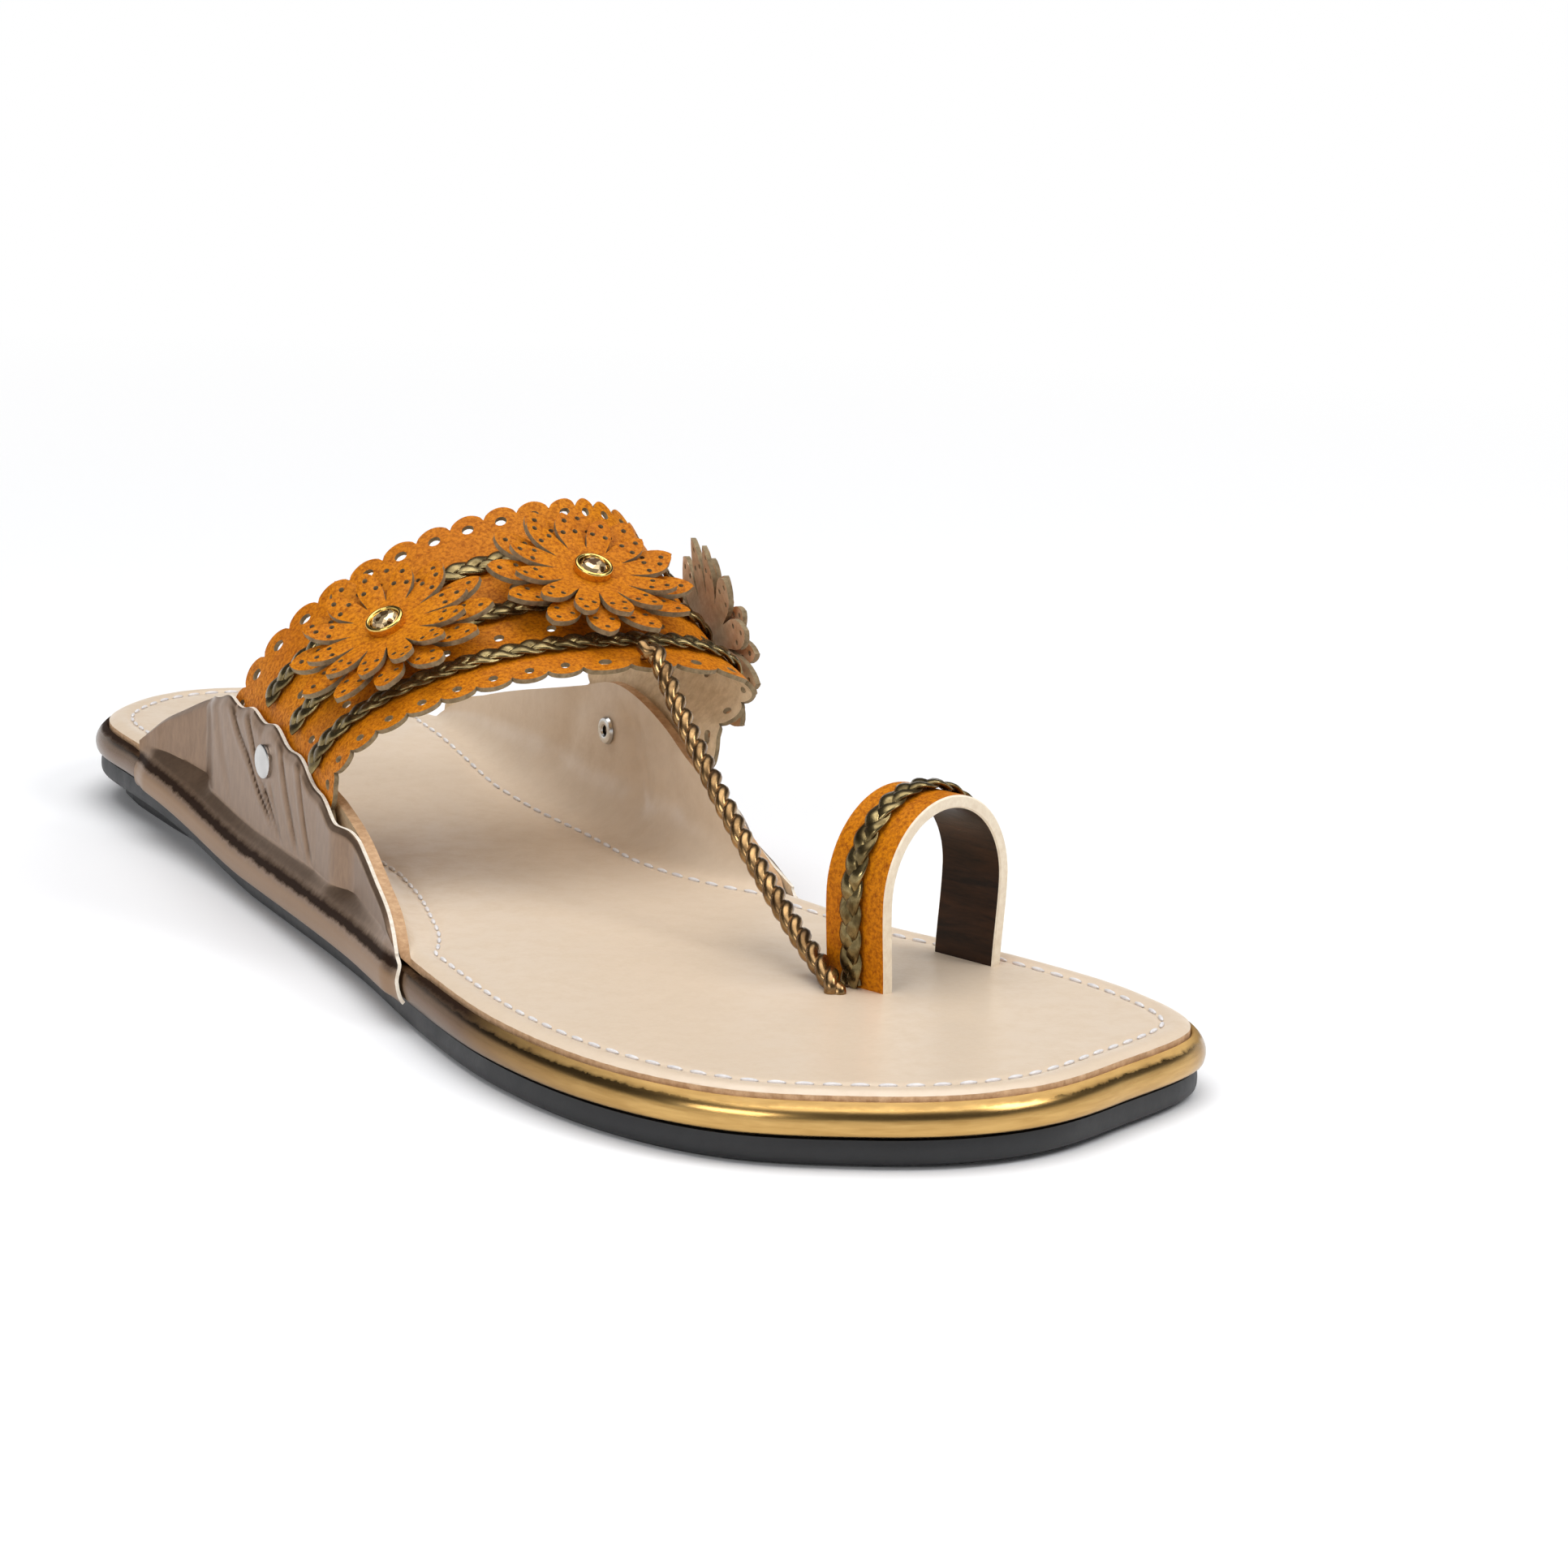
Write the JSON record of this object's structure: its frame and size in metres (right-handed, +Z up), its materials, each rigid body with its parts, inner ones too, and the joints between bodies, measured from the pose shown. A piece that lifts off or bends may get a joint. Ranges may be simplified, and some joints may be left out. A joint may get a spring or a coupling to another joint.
{
  "type": "kolhapuri sandal",
  "caption": "Flat open sandal with a cream insole, bronze rand, scalloped orange instep band with plaited trims and leather flowers, twisted cord and toe loop.",
  "frame": {"origin": "centre of the sandal's bounding box in plan, on the floor plane", "axes": "+Y towards the heel, so the toe points to -Y; +X towards the big-toe side; +Z up, normal to the floor"},
  "size_m": [0.0918, 0.2544, 0.061],
  "materials": {
    "rubber": "black rubber, slightly worn",
    "bronze_rand": "metallic bronze leather, glossy",
    "cream_leather": "cream satin leather",
    "bronze_leather": "creased metallic bronze leather",
    "orange_leather": "orange tan grained leather",
    "antique_gold": "plaited antique gold leather",
    "twisted_gold": "twisted bronze gold leather",
    "gold_metal": "polished gold tone",
    "champagne_crystal": "faceted champagne crystal",
    "silver_metal": "silver tone rivet"
  },
  "bodies": {
    "root": {"outsole": "rubber", "heel_block": "rubber", "rand": "bronze_rand", "insole": "cream_leather", "ear_cover_lateral": "bronze_leather", "ear_cover_medial": "bronze_leather", "instep_band": "orange_leather", "flower_lateral_lower": "orange_leather", "flower_lateral_upper": "orange_leather", "flower_top_lower": "orange_leather", "flower_top_upper": "orange_leather", "flower_medial_lower": "orange_leather", "flower_medial_upper": "orange_leather", "toe_loop": "orange_leather", "braid_rear": "antique_gold", "braid_middle": "antique_gold", "braid_front": "antique_gold", "toe_loop_braid": "antique_gold", "t_cord": "twisted_gold", "gem_rim_lateral": "gold_metal", "gem_rim_top": "gold_metal", "gem_rim_medial": "gold_metal", "gem_lateral": "champagne_crystal", "gem_top": "champagne_crystal", "gem_medial": "champagne_crystal", "rivet_lateral": "silver_metal", "rivet_medial": "silver_metal"}
  },
  "joints": []
}
